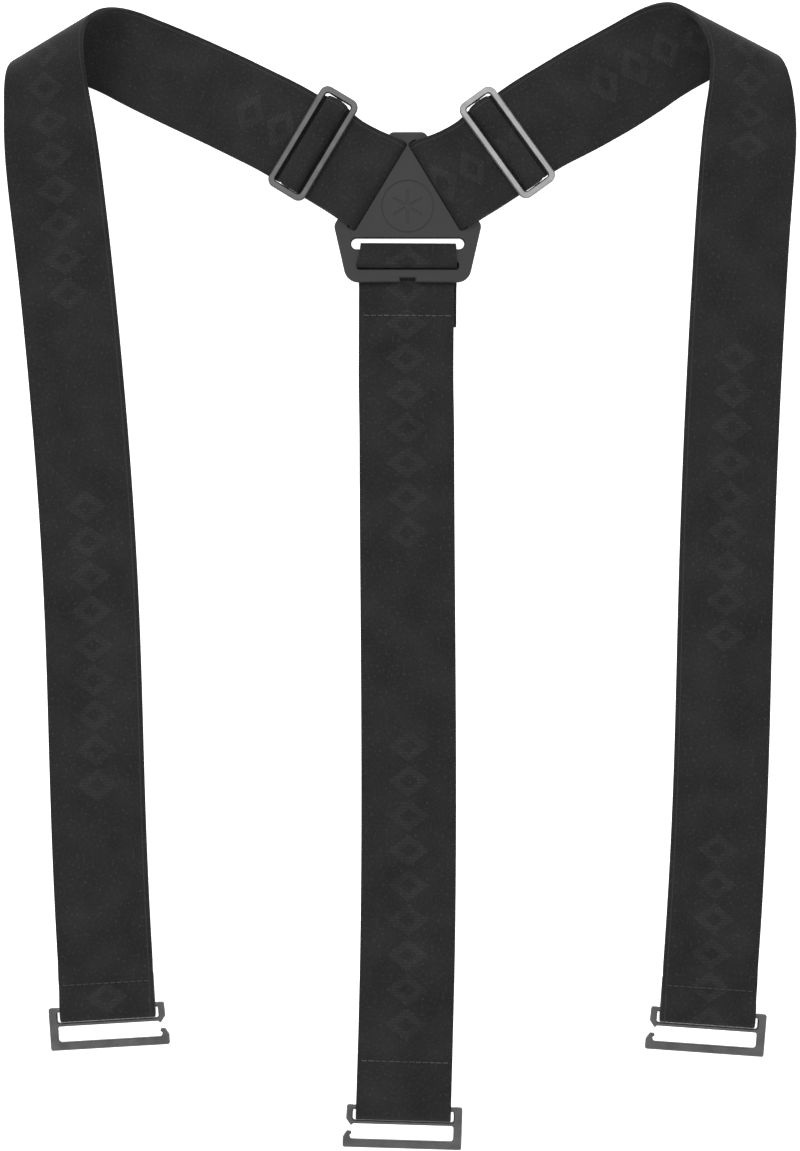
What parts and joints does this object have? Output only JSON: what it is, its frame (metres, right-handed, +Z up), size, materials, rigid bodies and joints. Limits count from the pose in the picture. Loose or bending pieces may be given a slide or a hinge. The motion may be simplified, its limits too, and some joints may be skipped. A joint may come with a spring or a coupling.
{
  "type": "trouser braces",
  "caption": "Y-back elastic trouser braces lying flat: moulded yoke, metal sliders, flat webbing straps turned over at the shoulders, and metal hooks at the strap ends.",
  "frame": {"origin": "middle of the whole's box in plan, on the table it lies on", "axes": "+Y from the back hook towards the yoke, +Z up out of the table, +X to the right seen from above"},
  "size_m": [0.3374, 0.478, 0.0256],
  "materials": {
    "webbing": "black woven elastic webbing",
    "thread": "black sewing thread",
    "yoke_plastic": "dark grey moulded plastic, satin",
    "slider_metal": "dark grey plated metal, satin",
    "hook_metal": "gunmetal plated metal, satin"
  },
  "bodies": {
    "yoke": {"yoke_plate": "yoke_plastic", "back_yoke_loop": "webbing", "back_yoke_stitching": "thread", "back_webbing": "webbing"},
    "back_strap_end": {"back_hook_loop": "webbing", "back_hook_stitching": "thread"},
    "back_hook": {"back_hook": "hook_metal"},
    "left_strap": {"left_yoke_loop": "webbing", "left_upper_run": "webbing", "left_return_run": "webbing", "left_shoulder_webbing": "webbing", "left_shoulder_fold": "webbing"},
    "left_slider": {"left_slider": "slider_metal", "left_slider_weave": "webbing", "left_slider_bar_loop": "webbing", "left_slider_stitching": "thread"},
    "left_front": {"left_front_webbing_upper": "webbing"},
    "left_strap_end": {"left_front_webbing_lower": "webbing", "left_hook_loop": "webbing", "left_hook_stitching": "thread"},
    "left_hook": {"left_hook": "hook_metal"},
    "right_strap": {"right_yoke_loop": "webbing", "right_upper_run": "webbing", "right_return_run": "webbing", "right_shoulder_webbing": "webbing", "right_shoulder_fold": "webbing"},
    "right_slider": {"right_slider": "slider_metal", "right_slider_weave": "webbing", "right_slider_bar_loop": "webbing", "right_slider_stitching": "thread"},
    "right_front": {"right_front_webbing_upper": "webbing"},
    "right_strap_end": {"right_front_webbing_lower": "webbing", "right_hook_loop": "webbing", "right_hook_stitching": "thread"},
    "right_hook": {"right_hook": "hook_metal"}
  },
  "joints": [
    {"name": "left_strap_swing", "type": "hinge", "parent": "yoke", "child": "left_strap", "pos_m": [-0.01265, 0.1645, 0.005], "axis": [0.518, 0.8554, 0], "range_deg": [0, 40]},
    {"name": "left_slider_travel", "type": "slide", "parent": "left_strap", "child": "left_slider", "axis": [-0.8937, 0.4487, 0], "range_m": [-0.008, 0.04], "deforming": ["left_upper_run", "left_return_run", "left_shoulder_webbing"]},
    {"name": "left_front_length", "type": "slide", "parent": "left_strap", "child": "left_front", "axis": [-0.0895, 0.996, 0], "range_m": [-0.008, 0.04], "deforming": ["left_front_webbing_upper"]},
    {"name": "left_front_stretch", "type": "slide", "parent": "left_front", "child": "left_strap_end", "axis": [0.0444, -0.999, 0], "range_m": [0, 0.08], "stiffness_N_per_m": 120, "deforming": ["left_front_webbing_lower"]},
    {"name": "left_hook_pivot", "type": "hinge", "parent": "left_strap_end", "child": "left_hook", "pos_m": [-0.12121, -0.17937, 0.0029], "axis": [-0.9982, -0.0593, 0], "range_deg": [0, 150]},
    {"name": "right_strap_swing", "type": "hinge", "parent": "yoke", "child": "right_strap", "pos_m": [0.02004, 0.1645, 0.005], "axis": [0.518, -0.8554, 0], "range_deg": [0, 40]},
    {"name": "right_slider_travel", "type": "slide", "parent": "right_strap", "child": "right_slider", "axis": [0.8512, 0.5248, 0], "range_m": [-0.008, 0.04], "deforming": ["right_upper_run", "right_return_run", "right_shoulder_webbing"]},
    {"name": "right_front_length", "type": "slide", "parent": "right_strap", "child": "right_front", "axis": [0.0528, 0.9986, 0], "range_m": [-0.008, 0.04], "deforming": ["right_front_webbing_upper"]},
    {"name": "right_front_stretch", "type": "slide", "parent": "right_front", "child": "right_strap_end", "axis": [-0.0403, -0.9992, 0], "range_m": [0, 0.08], "stiffness_N_per_m": 120, "deforming": ["right_front_webbing_lower"]},
    {"name": "right_hook_pivot", "type": "hinge", "parent": "right_strap_end", "child": "right_hook", "pos_m": [0.12856, -0.18157, 0.0029], "axis": [-0.9974, 0.0715, 0], "range_deg": [0, 150]},
    {"name": "back_stretch", "type": "slide", "parent": "yoke", "child": "back_strap_end", "axis": [-0.005, -1, 0], "range_m": [0, 0.08], "stiffness_N_per_m": 120, "deforming": ["back_webbing"]},
    {"name": "back_hook_pivot", "type": "hinge", "parent": "back_strap_end", "child": "back_hook", "pos_m": [0.00194, -0.22136, 0.0029], "axis": [-0.9996, 0.0297, 0], "range_deg": [0, 150]}
  ],
  "couplings": [
    {"joint": "left_front_length", "follows": "left_slider_travel", "ratio": 1},
    {"joint": "right_front_length", "follows": "right_slider_travel", "ratio": 1}
  ]
}
